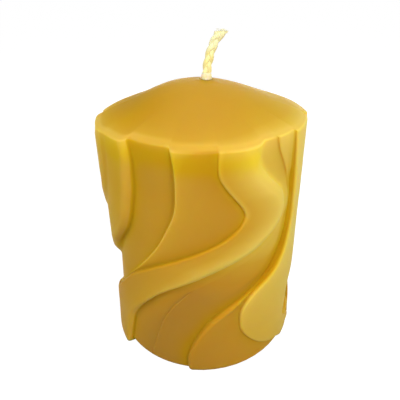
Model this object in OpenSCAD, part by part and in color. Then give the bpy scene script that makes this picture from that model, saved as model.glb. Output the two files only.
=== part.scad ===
// Poured pillar candle with flowing bands in relief round its side and a primed cotton wick.
// It stands on z = 0 with its axis along z, and the long S-shaped band faces -y.

/* [Body] */
// Radius of the raised bands
band_r = 32.5; // [26:0.5:44]
// Height of the bands, from the base to the rim
side_h = 81; // [60:0.5:120]
// Size of the soft edge round the base
foot_edge = 0.6; // [0.2:0.1:1.2]

/* [Relief] */
// Depth of the channels below the bands
channel_depth = 2.7; // [1.5:0.1:3.4]
// Depth of the channels where they run out at the rim
channel_rim_depth = 1.6; // [0.8:0.1:2.6]
// Depth of the channels where they run out at the base
channel_foot_depth = 0.5; // [0.2:0.1:2]
// Depth of the wide channel high up, beside the bend of the long band
wide_channel_top_depth = 1.5; // [0.8:0.1:3]
// Depth of the high edge of the slope between two bands
slope_depth = 1.1; // [0.4:0.1:2]
// Depth of the low edge of that slope
slope_low_depth = 1.2; // [0.6:0.1:2.6]
// Depth of the shelf beside the drop-shaped band
shelf_depth = 1; // [0.4:0.1:2]
// Depth of that shelf where it runs out at the base
shelf_foot_depth = 0.4; // [0:0.1:1]
// Dip of the long band at its upper edge
band_dip = 0.2; // [0:0.1:1]
// Rise of the drop-shaped band over the others
drop_rise = 0.4; // [0:0.1:1]
// Rise of the far band over the others
far_band_rise = 0.5; // [0:0.1:1]
// Rise of the ridge along the far band
ridge_rise = 1.5; // [0.2:0.1:2]
// How far the shelf and the drop-shaped band swell out at the base
foot_swell = 0.6; // [0:0.1:1.5]
// How far the long band swells out at the base
band_foot_swell = 0.9; // [0:0.1:1.4]
// Width of the soft step beside a band
step_w = 2.6; // [1.6:0.1:3.6]
// How far up the waves sit, in percent of the side's height
wave_lift = 1; // [0:0.5:4]

/* [Crown] */
// Rise of the crown from the rim of the bands to its middle
crown_rise = 10.6; // [4:0.1:14]
// How far the rounded middle of the crown reaches before its slope runs straight
crown_tip = 13; // [4:0.5:20]
// Width of the sloping rim
rim_w = 1.5; // [0.8:0.1:3]
// How far the inner edge of the rim stands over the crown
rim_lip = 0.4; // [0:0.1:1]
// How far the rim rises and sags from panel to panel
rim_wave = 0.6; // [0:0.1:1]

/* [Wick] */
// Diameter of the wick and of its channel in the wax
wick_d = 2.8; // [1.5:0.1:4]
// Distance of the wick from the candle's axis
wick_off = 1.5; // [0:0.1:2]
// Gap between the base and the trimmed lower end of the wick
wick_end_gap = 0.5; // [0:0.1:3]
// Length of the wick that stands free of the wax
wick_free = 15; // [8:0.5:25]
// How far the tip of the wick has leaned over, in degrees
wick_lean = 33; // [5:1:60]
// Diameter of the thick wax coat at the foot of the wick
collar_d = 3.4; // [2.8:0.1:5]
// Height of that coat above the crown
collar_h = 2.2; // [1:0.1:4]

/* [Hidden] */

// Edges of the bands as [percent of the side's height, degrees round the candle], from the base
// up. A half turn has these nine, in this order, and the other half repeats them.
FAR_BAND_END = [[0, -105], [13, -104], [25, -100], [32, -95], [36, -88], [41, -77], [49, -65.5],
    [56, -57], [61, -51], [67, -46.8], [74, -44], [80, -42], [86, -41], [92, -40], [100, -40.7]];
SLOPE_START = [[0, -103], [10, -102], [16, -95], [30, -64], [39, -52], [44, -45], [50, -37.5],
    [55, -31.5], [60, -26.3], [66, -21.6], [72, -17.3], [77, -15.3], [85, -14.6], [93, -14.8],
    [100, -16.5]];
BAND_START = [[0, -101], [8, -100.5], [13, -98], [17, -90], [20, -80], [26, -68.5], [32, -60],
    [37, -53.5], [42, -46.3], [47, -36.5], [52, -24.5], [56, -13.5], [60, -1.5], [64, 9.8], [67, 16],
    [70, 20], [73.5, 21.8], [77, 19.6], [81, 15.3], [85, 11.2], [89, 8], [93, 7], [100, 7.3]];
BAND_END = [[0, -55.5], [6, -54], [12, -52], [17, -50], [21, -47], [26, -42], [31, -35.3],
    [36, -28], [41, -18.3], [45, -8], [50, 6.5], [54, 20.3], [57, 29.8], [60, 37], [63, 43.5],
    [67, 48.8], [71, 50.5], [75, 50], [79, 47.6], [83, 41.5], [87, 35.3], [91, 30.8], [95, 29.5],
    [100, 31.5]];
SHELF_START = [[0, -10], [6, -10.5], [11, -8.8], [16, -6], [20, -3], [25, 1.8], [30, 9.3],
    [34, 18], [38, 28.5], [42, 39], [45, 45], [48, 49], [52, 52.8], [56, 54.8], [61, 56.5],
    [67, 57.5], [74, 57.8], [82, 57.5], [90, 56], [100, 54]];
DROP_START = [[0, 57], [1.6, 56], [2.4, 53], [3.2, 49], [4.6, 43.5], [6.4, 38.5], [9.2, 33],
    [13, 27.7], [16.5, 24], [20.5, 21.2], [25, 20.5], [29, 20.8], [32, 22.5], [36, 27], [39, 32],
    [43, 41.5], [48, 50], [56, 55.6], [67, 58.5], [100, 55]];
DROP_END = [[0, 58.5], [1.6, 60], [2.6, 66], [5, 69.5], [7.5, 68.5], [9.5, 64], [12, 61], [16, 60.5],
    [20, 61.5], [26, 64], [30, 67], [35, 74], [43, 80], [53, 83], [63, 84], [100, 84]];
FAR_BAND_START = [[0, 72], [5, 72.5], [7.5, 71], [9.5, 67], [11, 66], [12.5, 69], [14, 74], [17, 77],
    [28, 81], [33, 83], [43, 85], [53, 87], [66, 88], [100, 88]];
RIDGE_END = [[0, 73], [5, 73.5], [7.5, 72], [9.5, 68], [11, 67], [12.5, 70], [14, 75], [17, 78],
    [28, 82], [33, 84], [43, 86], [53, 90], [60, 95], [66, 102], [72, 110], [80, 116], [90, 118],
    [100, 118]];
HALF_TURN = [FAR_BAND_END, SLOPE_START, BAND_START, BAND_END, SHELF_START, DROP_START, DROP_END,
    FAR_BAND_START, RIDGE_END];
half_n = len(HALF_TURN);
edge_n = 2 * half_n;

// Depth below the bands just after each edge and just before the next one, high up and at the base
PANELS = [
    [channel_depth, channel_depth, channel_foot_depth, channel_foot_depth],
    [slope_depth, slope_low_depth, slope_depth, slope_low_depth],
    [band_dip, 0, -band_foot_swell, -band_foot_swell],
    [channel_depth, channel_depth, channel_foot_depth, channel_foot_depth],
    [0, shelf_depth, -foot_swell, shelf_foot_depth],
    [-drop_rise, -drop_rise, -foot_swell, -foot_swell],
    [channel_depth, channel_depth, channel_foot_depth, channel_foot_depth],
    [-ridge_rise, -ridge_rise, -ridge_rise, -ridge_rise],
    [-far_band_rise, -far_band_rise, -far_band_rise, -far_band_rise]
];
// Rise or sag of the rim at each panel
RIM_LIFT = rim_wave * [-0.2, -2.4, -1, 1, 1, 0.7, 0, 1, 0.3];
// Extra columns of points across each panel, between its two steps
PANEL_COLUMNS = [3, 2, 4, 3, 3, 3, 1, 1, 3];
// Places across a step, from its foot to its crest
STEP_PLACES = [-1, -0.4, 0.4, 1];

// Panels that behave in their own way: the wide channel, the ridge and the far band beside it
wide_channel_panel = 3;
ridge_panel = 7;
far_panel = 8;
// Percent of the side's height over which the wide channel grows shallow
wide_top_start = 45;
wide_top_span = 20;
// Two edges never come closer than this, in degrees
least_gap = 0.8;
// A step takes at most this share of the panel beside it
step_share = 0.46;
// A panel has its full depth where it is this many steps wide
open_steps = 2.2;
// Rows of points up the side and over the crown
side_rows = 33;
crown_rows = 6;
// Share of the rim's rise that its inner edge takes, and share of the crown over which it fades
lip_share = 0.35;
lip_reach = 0.35;
// How far the cut for the wick's channel runs past the wax, and the fineness of round shapes
cut_over = 1;
round_fn = 64;
bend_fn = 180;
// Percent of the side's height from which the rows bend up to the rim and the channels run out
rim_start = 80;
// Percent of the side's height over which an edge's slant is measured
slant_probe = 0.5;
// The depths settle to their upper values the faster, the higher this is
settle_power = 3;

deg_arc = band_r * PI / 180;
wick_top_z = side_h + crown_rise;
wick_bend_r = wick_free / (wick_lean * PI / 180);

function ease(t) = let(c = min(1, max(0, t))) c * c * (3 - 2 * c);
function mix(a, b, t) = a + (b - a) * t;

// Smooth curve through points sorted by their first value
function chord(p, i, j) = (p[j][1] - p[i][1]) / (p[j][0] - p[i][0]);
function tangent(p, i) = chord(p, max(0, i - 1), min(len(p) - 1, i + 1));
function span(p, x, i = 0) = i >= len(p) - 2 || x <= p[i + 1][0] ? i : span(p, x, i + 1);
function curve(p, x) =
    let(i = span(p, x), w = p[i + 1][0] - p[i][0], t = (x - p[i][0]) / w, s = ease(t))
    mix(p[i][1], p[i + 1][1], s)
    + w * t * (1 - t) * ((1 - t) * tangent(p, i) - t * tangent(p, i + 1));

// Angle of an edge at a height, held clear of the edge that it merges with
function own_edge(k, h) = curve(HALF_TURN[k], max(0, h - wave_lift));
function half_edge(k, h) =
    k == 1 ? min(own_edge(1, h), own_edge(2, h) - least_gap)
    : k == 5 ? max(own_edge(5, h), own_edge(4, h) + least_gap)
    : k == 7 ? min(own_edge(7, h), half_edge(8, h) - least_gap)
    : k == 8 ? min(own_edge(8, h), own_edge(0, h) + 180 - least_gap)
    : own_edge(k, h);
function edge(k, h) = half_edge((k + edge_n) % half_n, h) + 180 * floor(k / half_n);

// Half the width of the step at an edge, in degrees: a slanting edge takes a wider share of a row
function edge_slant(k, h) =
    let(low = max(0, h - slant_probe), high = min(100, h + slant_probe))
    (edge(k, high) - edge(k, low)) * deg_arc / ((high - low) * side_h / 100);
function step_half(k, h) = step_w / 2 * sqrt(1 + edge_slant(k, h) ^ 2) / deg_arc;
function panel_deg(k, h) = edge(k + 1, h) - edge(k, h);
function step_before(k, h) = min(step_half(k, h), step_share * panel_deg(k - 1, h));
function step_after(k, h) = min(step_half(k, h), step_share * panel_deg(k, h));

// Depth at the start or the end of a panel: a panel that closes up blends into its neighbours,
// and everything below the bands grows shallow towards the rim
function rim_share(h) = ease((h - rim_start) / (100 - rim_start));
function is_panel(k, n) = (k + edge_n) % half_n == n;
function plain_depth(k, h, end) =
    let(p = PANELS[(k + edge_n) % half_n],
        fill = is_panel(k, wide_channel_panel) ? ease((h - wide_top_start) / wide_top_span) : 0)
    mix(mix(p[end], wide_channel_top_depth, fill), p[2 + end], (1 - h / 100) ^ settle_power);
function openness(first, last, h) =
    ease((edge(last + 1, h) - edge(first, h)) * deg_arc / (open_steps * step_w));
// The far band and the ridge along it open as one
function open_depth(k, h, end) =
    is_panel(k, ridge_panel) ? mix(open_depth(k + 1, h, 0), plain_depth(k, h, end), openness(k, k, h))
    : let(first = is_panel(k, far_panel) ? k - 1 : k)
    mix((plain_depth(first - 1, h, 1) + plain_depth(k + 1, h, 0)) / 2, plain_depth(k, h, end),
        openness(first, k, h));
function depth(k, h, end) =
    let(d = open_depth(k, h, end))
    d > 0 ? d * mix(1, channel_rim_depth / channel_depth, rim_share(h)) : d;

// One row of [degrees, radius] all round: four points across each step, then those of its panel
function step_points(k, h) = [
    for (s = STEP_PLACES)
        [edge(k, h) + s * (s < 0 ? step_before(k, h) : step_after(k, h)),
         band_r - mix(depth(k - 1, h, 1), depth(k, h, 0), ease((s + 1) / 2))]
];
function panel_points(k, h) =
    let(n = PANEL_COLUMNS[k % half_n],
        a = edge(k, h) + step_after(k, h),
        b = edge(k + 1, h) - step_before(k + 1, h))
    [for (i = [1:n]) let(t = i / (n + 1))
        [mix(a, b, t), band_r - mix(depth(k, h, 0), depth(k, h, 1), t)]];
function ring(h) = [for (k = [0:edge_n - 1]) each concat(step_points(k, h), panel_points(k, h))];

// The crown is a cone with a round middle, which reaches side_h at the radius of the bands
function bowl(r) = sqrt(r ^ 2 + crown_tip ^ 2) - crown_tip;
function crown_z(r) = side_h + crown_rise * (1 - bowl(r) / bowl(band_r));

// The rim follows the bands and panels. Each of its points is [degrees, radius], and has a lift
rim = ring(100);
function panel_lift(k) = RIM_LIFT[(k + edge_n) % half_n];
rim_lifts = [
    for (k = [0:edge_n - 1]) each concat(
        [for (s = STEP_PLACES) mix(panel_lift(k - 1), panel_lift(k), ease((s + 1) / 2))],
        [for (i = [1:PANEL_COLUMNS[k % half_n]]) panel_lift(k)])
];
function rim_z(c) = crown_z(rim[c][1]) + rim_lifts[c];

// A point of the body, at an angle that is 0 at -y and grows towards +x
function place(deg, r, z) = [r * sin(deg), -r * cos(deg), z];
function side_row(h, inset) =
    let(row = ring(h))
    [for (c = [0:len(row) - 1])
        place(row[c][0], row[c][1] - inset, h / 100 * side_h + (rim_z(c) - side_h) * rim_share(h))];
// Rows over the crown, from the inner edge of the rim at t = 0 to the middle at t = 1
function crown_row(t) =
    let(fade = 1 - ease(t / lip_reach))
    [for (c = [0:len(rim) - 1])
        let(r = (rim[c][1] - rim_w) * (1 - t))
        place(rim[c][0], r, crown_z(r) + (rim_lip + lip_share * rim_lifts[c]) * fade)];

foot_pct = foot_edge / side_h * 100;
rows = concat(
    [side_row(0, foot_edge)],
    [for (i = [0:side_rows]) side_row(mix(foot_pct, 100, i / side_rows), 0)],
    [for (i = [0:crown_rows - 1]) crown_row(i / crown_rows)]
);
columns = len(rows[0]);
row_n = len(rows);
base_middle = row_n * columns;
crown_middle = base_middle + 1;
body_points = concat([for (row = rows) each row], [[0, 0, 0], [0, 0, crown_z(0)]]);
function at(row, column) = row * columns + column % columns;
body_faces = concat(
    [for (c = [0:columns - 1]) [base_middle, at(0, c), at(0, c + 1)]],
    [for (j = [0:row_n - 2], c = [0:columns - 1]) each [
        [at(j, c), at(j + 1, c), at(j, c + 1)],
        [at(j, c + 1), at(j + 1, c), at(j + 1, c + 1)]
    ]],
    [for (c = [0:columns - 1]) [crown_middle, at(row_n - 1, c + 1), at(row_n - 1, c)]]
);

// Poured wax, with the round channel that the wick left in it
module wax_body() {
    color([0.82, 0.62, 0.17])
    difference() {
        polyhedron(body_points, body_faces, convexity = 6);
        translate([wick_off, 0, -cut_over])
            cylinder(d = wick_d, h = wick_top_z + 2 * cut_over, $fn = round_fn);
    }
}

// Wick from the base to its leaning tip, with the coat that gathered at its foot
module wick() {
    color([0.97, 0.92, 0.66])
    union() {
        translate([wick_off, 0, wick_end_gap])
            cylinder(d = wick_d, h = wick_top_z - wick_end_gap, $fn = round_fn);
        translate([wick_off, 0, wick_top_z])
            cylinder(d = collar_d, h = collar_h, $fn = round_fn);
        translate([wick_off + wick_bend_r, 0, wick_top_z])
            rotate([90, 0, 180])
                rotate_extrude(angle = wick_lean, $fn = bend_fn)
                    translate([wick_bend_r, 0])
                        circle(d = wick_d, $fn = round_fn);
    }
}

wax_body();
wick();
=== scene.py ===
# %% [markdown]
# # A wavy beeswax pillar candle
# The candle is two pieces: a poured body of amber wax with flowing bands in relief, and a braided
# cotton wick that leans over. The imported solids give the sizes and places. This lesson dresses
# them: a finely carved wax skin that light can sink into, and a wick plaited from real strands.

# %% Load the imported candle
import math
import random

import bmesh
import bpy
from mathutils import Matrix, Vector, noise


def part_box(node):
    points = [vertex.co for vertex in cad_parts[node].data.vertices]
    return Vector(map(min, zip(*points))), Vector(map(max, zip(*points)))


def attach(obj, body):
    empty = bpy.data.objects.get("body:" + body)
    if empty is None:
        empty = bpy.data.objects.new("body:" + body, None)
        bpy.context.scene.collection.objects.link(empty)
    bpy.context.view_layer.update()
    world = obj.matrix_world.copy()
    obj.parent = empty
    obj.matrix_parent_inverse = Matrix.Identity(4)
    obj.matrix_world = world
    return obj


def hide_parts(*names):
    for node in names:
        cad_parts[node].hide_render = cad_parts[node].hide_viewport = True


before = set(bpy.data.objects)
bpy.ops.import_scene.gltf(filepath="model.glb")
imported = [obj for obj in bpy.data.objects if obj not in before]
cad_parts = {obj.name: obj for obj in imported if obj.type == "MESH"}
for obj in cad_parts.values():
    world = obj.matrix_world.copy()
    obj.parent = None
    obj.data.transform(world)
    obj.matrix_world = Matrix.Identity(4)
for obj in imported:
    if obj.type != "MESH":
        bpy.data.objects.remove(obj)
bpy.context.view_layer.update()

MM = 0.001
wax_low, wax_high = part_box("wax_body")
wick_low, wick_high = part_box("wick")
print("wax from", wax_low[:], "to", wax_high[:])
print("wick from", wick_low[:], "to", wick_high[:])

# %% [markdown]
# ## Camera
# The photograph looks down on the candle from close by, so its sides lean together towards the
# base. A camera fitted to the outline stands 134 mm in front of the axis and 124 mm up, looks
# down by 29 degrees and has a lens of 39 mm on Blender's 36 mm sensor. It was held by hand, so it
# rolls by two thirds of a degree, and a tiny shift puts the candle right of the middle.

# %% Camera
CAMERA_BACK = 134.0 * MM
CAMERA_UP = 123.8 * MM
CAMERA_PITCH = 29.1
CAMERA_ROLL = -0.65
CAMERA_LENS = 38.97
CAMERA_SENSOR = 36.0
CAMERA_SHIFT = -0.0075
CAMERA_NEAR = 5.0 * MM

camera_data = bpy.data.cameras.new("camera")
camera_data.lens = CAMERA_LENS
camera_data.sensor_width = CAMERA_SENSOR
camera_data.shift_x = CAMERA_SHIFT
camera_data.clip_start = CAMERA_NEAR
camera = bpy.data.objects.new("camera", camera_data)
tip_down = Matrix.Rotation(math.radians(90.0 - CAMERA_PITCH), 4, "X")
camera.location = (0.0, -CAMERA_BACK, CAMERA_UP)
camera.rotation_euler = (tip_down @ Matrix.Rotation(math.radians(CAMERA_ROLL), 4, "Z")).to_euler()
bpy.context.scene.collection.objects.link(camera)
bpy.context.scene.camera = camera
print("camera at", camera.location[:])

# %% [markdown]
# ## Helpers
# Materials are built from nodes, and a few short helpers save much typing: they add a node with its
# settings, fill in its sockets and link it to the next. Two more ease and mix numbers, and the last
# turns a finished bmesh into an object at the origin.

# %% Helpers for nodes
def add_node(tree, kind, **settings):
    node = tree.nodes.new(kind)
    for name, value in settings.items():
        setattr(node, name, value)
    return node


def set_sockets(node, values):
    for name, value in values.items():
        node.inputs[name].default_value = value


def new_material(name):
    material = bpy.data.materials.new(name)
    material.use_nodes = True
    tree = material.node_tree
    shader = tree.nodes["Principled BSDF"]
    return material, tree, shader


def noise_node(tree, vector, scale, detail, roughness=0.5):
    node = add_node(tree, "ShaderNodeTexNoise")
    set_sockets(node, {"Scale": scale, "Detail": detail, "Roughness": roughness})
    tree.links.new(vector, node.inputs["Vector"])
    return node.outputs["Fac"]


def range_node(tree, value, limits):
    node = add_node(tree, "ShaderNodeMapRange")
    set_sockets(node, limits)
    tree.links.new(value, node.inputs["Value"])
    return node.outputs["Result"]


def ramp_node(tree, factor, stops):
    node = add_node(tree, "ShaderNodeValToRGB")
    ramp = node.color_ramp
    while len(ramp.elements) < len(stops):
        ramp.elements.new(0.5)
    for element, (place, color) in zip(ramp.elements, stops):
        element.position = place
        element.color = (*color, 1.0)
    tree.links.new(factor, node.inputs["Fac"])
    return node.outputs["Color"]


def multiply_node(tree):
    return add_node(tree, "ShaderNodeMix", data_type="RGBA", blend_type="MULTIPLY")


def add_bump(tree, shader, height, strength, distance):
    bump = add_node(tree, "ShaderNodeBump")
    set_sockets(bump, {"Strength": strength, "Distance": distance})
    tree.links.new(height, bump.inputs["Height"])
    tree.links.new(bump.outputs["Normal"], shader.inputs["Normal"])


print("helpers for nodes are ready")

# %% Helpers for shapes
def ease(t):
    c = min(1.0, max(0.0, t))
    return c * c * (3.0 - 2.0 * c)


def mix(a, b, t):
    return a + (b - a) * t


def finish_mesh(bm, name, material):
    mesh = bpy.data.meshes.new(name)
    bm.to_mesh(mesh)
    bm.free()
    mesh.polygons.foreach_set("use_smooth", [True] * len(mesh.polygons))
    mesh.materials.append(material)
    piece = bpy.data.objects.new(name, mesh)
    bpy.context.scene.collection.objects.link(piece)
    print(name, len(mesh.vertices), "vertices,", len(mesh.polygons), "faces")
    return piece


print("a quarter of the way eases to", ease(0.25))

# %% [markdown]
# ## Stage and light
# The photograph is a shop picture on pure white, under soft light. A lamp high in front on the
# right shapes the relief, a wider one on the left fills its shadows, and a low one behind shines
# into the wax. The floor is a wide pale disc. Its glow shows only to the camera and in reflections,
# where it makes the floor white, and what lamps throw on it keeps a faint shadow. The world does
# the same: white to look at, a dim grey as a light.

# %% Floor
FLOOR_RADIUS = 3.0
FLOOR_SIDES = 96
FLOOR_GLOW = 0.91
FLOOR_COLOR = (0.22, 0.22, 0.22)


def seen_ray(tree):
    """1 for rays from the camera, mirrors and glass, and 0 for the rays that carry light."""
    path = add_node(tree, "ShaderNodeLightPath")
    total = path.outputs["Is Camera Ray"]
    for kind in ("Is Glossy Ray", "Is Transmission Ray"):
        larger = add_node(tree, "ShaderNodeMath", operation="MAXIMUM")
        tree.links.new(total, larger.inputs[0])
        tree.links.new(path.outputs[kind], larger.inputs[1])
        total = larger.outputs[0]
    return total


def make_floor():
    bm = bmesh.new()
    bmesh.ops.create_circle(bm, cap_ends=True, segments=FLOOR_SIDES, radius=FLOOR_RADIUS)
    material, tree, shader = new_material("pale_floor")
    set_sockets(shader, {
        "Base Color": (*FLOOR_COLOR, 1.0), "Roughness": 0.9, "Specular IOR Level": 0.0,
        "Emission Color": (1.0, 1.0, 1.0, 1.0)})
    glow = add_node(tree, "ShaderNodeMath", operation="MULTIPLY")
    glow.inputs[1].default_value = FLOOR_GLOW
    tree.links.new(seen_ray(tree), glow.inputs[0])
    tree.links.new(glow.outputs[0], shader.inputs["Emission Strength"])
    finish_mesh(bm, "floor", material)


make_floor()

# %% World and lamps
SKY_STRENGTH = 0.40
# Place, size across and power of each lamp
LAMPS = {
    "key_lamp": ((0.15, -0.21, 0.20), 0.14, 0.55),
    "fill_lamp": ((-0.22, -0.16, 0.22), 0.24, 0.48),
    "back_lamp": ((0.05, 0.32, 0.08), 0.30, 0.50)}


def make_sky():
    world = bpy.data.worlds.new("sky")
    world.use_nodes = True
    bpy.context.scene.world = world
    tree = world.node_tree
    background = tree.nodes["Background"]
    background.inputs["Color"].default_value = (1.0, 1.0, 1.0, 1.0)
    shown = add_node(tree, "ShaderNodeMix", data_type="FLOAT")
    set_sockets(shown, {"A": SKY_STRENGTH, "B": 1.0})
    tree.links.new(seen_ray(tree), shown.inputs["Factor"])
    tree.links.new(shown.outputs["Result"], background.inputs["Strength"])


def make_lamp(name, place, size, power):
    data = bpy.data.lights.new(name, "AREA")
    data.shape = "DISK"
    data.size = size
    data.energy = power
    lamp = bpy.data.objects.new(name, data)
    lamp.location = place
    aim = Vector((0.0, 0.0, wax_high.z / 2)) - Vector(place)
    lamp.rotation_euler = aim.to_track_quat("-Z", "Y").to_euler()
    bpy.context.scene.collection.objects.link(lamp)


make_sky()
for lamp_name, (lamp_place, lamp_size, lamp_power) in LAMPS.items():
    make_lamp(lamp_name, lamp_place, lamp_size, lamp_power)
bpy.context.scene.view_settings.view_transform = "Standard"
print("made the sky and", len(LAMPS), "lamps")

# %% [markdown]
# ## The wave bands
# Round the side run raised bands, hollow channels between them, a sloping panel and a low shelf.
# Relief like this could be sculpted, or pushed out by a grey picture, but then its edges would blur.
# Here each border is one flowing line, a short list of points: percent of the side's
# height, then degrees round the candle, where 0 faces the camera. A smooth curve runs through them.
# Ten lines make half a turn, and the other half repeats them, because the photograph shows only one
# side. The finest of them is a terrace in the wide channel, only a third of a millimetre high and
# seen near its two ends.

# %% Sizes of the wax
BAND_R = 32.5 * MM
SIDE_H = 81.0 * MM
CROWN_RISE = 10.6 * MM
CROWN_TIP = 13.0 * MM
RIM_W = 1.5 * MM
RIM_LIP = 0.4 * MM
RIM_WAVE = 0.6 * MM
WICK_OFF = 1.5 * MM
WICK_R = 1.4 * MM
WICK_Z = SIDE_H + CROWN_RISE

CHANNEL = 2.7 * MM
CHANNEL_AT_RIM = 1.6 * MM
CHANNEL_AT_FOOT = 0.5 * MM
WIDE_CHANNEL_TOP = 1.5 * MM
SLOPE = 1.1 * MM
SLOPE_LOW = 1.2 * MM
SHELF = 1.0 * MM
SHELF_AT_FOOT = 0.4 * MM
BAND_DIP = 0.2 * MM
DROP = 0.4 * MM
FAR_BAND = 0.5 * MM
RIDGE = 1.5 * MM
SWELL = 0.5 * MM
BAND_SWELL = 0.7 * MM
BAND_FOOT = 1.8 * MM
BULGE = 0.5 * MM
TERRACE = 0.3 * MM
print("the crown rises to", round(WICK_Z / MM, 1), "mm")

# %% Border lines of the bands
FAR_BAND_END = [(0, -105), (13, -104), (25, -100), (32, -95), (36, -88), (41, -77), (49, -65.5),
    (56, -57), (61, -51), (67, -46.8), (74, -44), (80, -42), (86, -41), (92, -40), (100, -40.7)]
SLOPE_START = [(0, -103), (10, -102), (16, -95), (30, -64), (39, -52), (44, -45), (50, -37.5),
    (55, -31.5), (60, -26.3), (66, -21.6), (72, -17.3), (77, -15.3), (85, -14.6), (93, -14.8),
    (100, -16.5)]
BAND_START = [(0, -101), (8, -100.5), (13, -98), (17, -90), (20, -80), (26, -68.5), (32, -60),
    (37, -53.5), (42, -46.3), (47, -36.5), (52, -24.5), (56, -13.5), (60, -1.5), (64, 9.8), (67, 16),
    (70, 20), (73.5, 21.8), (77, 19.6), (81, 15.3), (85, 11.2), (89, 8), (93, 7), (100, 7.3)]
BAND_END = [(0, -55.5), (6, -54), (12, -52), (17, -50), (21, -47), (26, -42), (31, -35.3),
    (36, -28), (41, -18.3), (45, -8), (50, 6.5), (54, 20.3), (57, 29.8), (60, 37), (63, 43.5),
    (67, 48.8), (71, 50.5), (75, 50), (79, 47.6), (83, 41.5), (87, 35.3), (91, 30.8), (95, 29.5),
    (100, 31.5)]
TERRACE_START = [(0, -36.5), (5, -34.5), (13, -31), (22, -26.5), (30, -20.3), (37, -12), (41, -5.5),
    (46, 8.5), (50, 20), (55, 37), (60, 48), (65, 54), (70, 56.5), (75, 56.5), (79, 55), (83, 52.5),
    (88, 48), (94, 42.5), (100, 39.8)]
SHELF_START = [(0, -10), (6, -10.5), (11, -8.8), (16, -6), (20, -3), (25, 1.8), (30, 9.3),
    (34, 18), (38, 28.5), (42, 39), (45, 45), (48, 49), (52, 52.8), (56, 54.8), (61, 56.5),
    (67, 57.5), (74, 57.8), (82, 57.5), (90, 56), (100, 54)]
DROP_START = [(0, 57), (1.6, 56), (2.4, 53), (3.2, 49), (4.6, 43.5), (6.4, 38.5), (9.2, 33),
    (13, 27.7), (16.5, 24), (20.5, 21.2), (25, 20.5), (29, 20.8), (32, 22.5), (36, 27), (39, 32),
    (43, 41.5), (48, 50), (56, 55.6), (67, 58.5), (100, 55)]
DROP_END = [(0, 58.5), (1.6, 60), (2.6, 66), (5, 69.5), (7.5, 68.5), (9.5, 64), (12, 61), (16, 60.5),
    (20, 61.5), (26, 64), (30, 67), (35, 74), (43, 80), (53, 83), (63, 84), (100, 84)]
FAR_BAND_START = [(0, 72), (5, 72.5), (7.5, 71), (9.5, 67), (11, 66), (12.5, 69), (14, 74), (17, 77),
    (28, 81), (33, 83), (43, 85), (53, 87), (66, 88), (100, 88)]
RIDGE_END = [(0, 73), (5, 73.5), (7.5, 72), (9.5, 68), (11, 67), (12.5, 70), (14, 75), (17, 78),
    (28, 82), (33, 84), (43, 86), (53, 90), (60, 95), (66, 102), (72, 110), (80, 116), (90, 118),
    (100, 118)]
HALF_TURN = [FAR_BAND_END, SLOPE_START, BAND_START, BAND_END, TERRACE_START, SHELF_START, DROP_START,
    DROP_END, FAR_BAND_START, RIDGE_END]
HALF_N = len(HALF_TURN)
EDGE_N = 2 * HALF_N
print(EDGE_N, "lines round the candle")

# %% Depth of the panels between the lines
# A panel has the number of the line before it
(LEFT_CHANNEL, SLOPING_PANEL, LONG_BAND, LOW_FLOOR, HIGH_FLOOR, SHELF_PANEL, DROP_PANEL, FAR_CHANNEL,
    RIDGE_PANEL, FAR_PANEL) = range(HALF_N)
# Depth below the bands after each line and before the next, high up and at the base
PANELS = {
    LEFT_CHANNEL: (CHANNEL, CHANNEL, CHANNEL_AT_FOOT, CHANNEL_AT_FOOT),
    SLOPING_PANEL: (SLOPE, SLOPE_LOW, SLOPE, SLOPE_LOW),
    LONG_BAND: (BAND_DIP, 0.0, -BAND_SWELL, -BAND_FOOT),
    LOW_FLOOR: (CHANNEL, CHANNEL, CHANNEL_AT_FOOT, CHANNEL_AT_FOOT),
    HIGH_FLOOR: (CHANNEL, CHANNEL, CHANNEL_AT_FOOT, CHANNEL_AT_FOOT),
    SHELF_PANEL: (0.0, SHELF, -SWELL, SHELF_AT_FOOT),
    DROP_PANEL: (-DROP, -DROP, -SWELL, -SWELL),
    FAR_CHANNEL: (CHANNEL, CHANNEL, -SWELL, -SWELL),
    RIDGE_PANEL: (-RIDGE, -RIDGE, -RIDGE, -RIDGE),
    FAR_PANEL: (-FAR_BAND, -FAR_BAND, -FAR_BAND, -FAR_BAND)}
# Heights in percent where the wide channel gets shallower, the long band bulges and the terrace ends
WIDE_TOP_START = 45.0
WIDE_TOP_SPAN = 20.0
BULGE_LOW = 12.0
BULGE_HIGH = 38.0
BULGE_SPAN = 10.0
TERRACE_HIGH = 82.0
TERRACE_LOW = 43.0
TERRACE_SPAN = 5.0
TERRACE_FOOT = 8.0
SETTLE_POWER = 3.0


def terrace_rise(h):
    """The terrace shows near the rim and in the lower half, and is level between."""
    upper = ease((h - TERRACE_HIGH) / TERRACE_SPAN)
    lower = ease((TERRACE_LOW - h) / TERRACE_SPAN) * ease(h / TERRACE_FOOT)
    return TERRACE * max(upper, lower)


def plain_depth(k, h, end):
    """Depth at the start (0) or the end (1) of a panel that is fully open."""
    panel = k % HALF_N
    high = PANELS[panel][end]
    if panel == LONG_BAND:
        high -= BULGE * ease((h - BULGE_LOW) / BULGE_SPAN) * ease((BULGE_HIGH - h) / BULGE_SPAN)
    if panel in (LOW_FLOOR, HIGH_FLOOR):
        high = mix(high, WIDE_CHANNEL_TOP, ease((h - WIDE_TOP_START) / WIDE_TOP_SPAN))
    return mix(high, PANELS[panel][2 + end], (1.0 - h / 100.0) ** SETTLE_POWER)


print("the left channel is", round(plain_depth(LEFT_CHANNEL, 50.0, 0) / MM, 2), "mm deep half way up")

# %% [markdown]
# ## From lines to a surface
# At one height the lines are angles. Across each line the surface steps from one depth to the
# next: a round shoulder on the high side and a tight hollow at the foot, two quarters of an
# ellipse. A step is measured square to its line, so a line that runs at a slant takes a wider share
# of the row. Where two lines meet, the panel between them closes up and blends away.

# %% Smooth lines
WAVE_LIFT = 1.0
LEAST_GAP = 0.8
SPARE_LINES = 2


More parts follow.
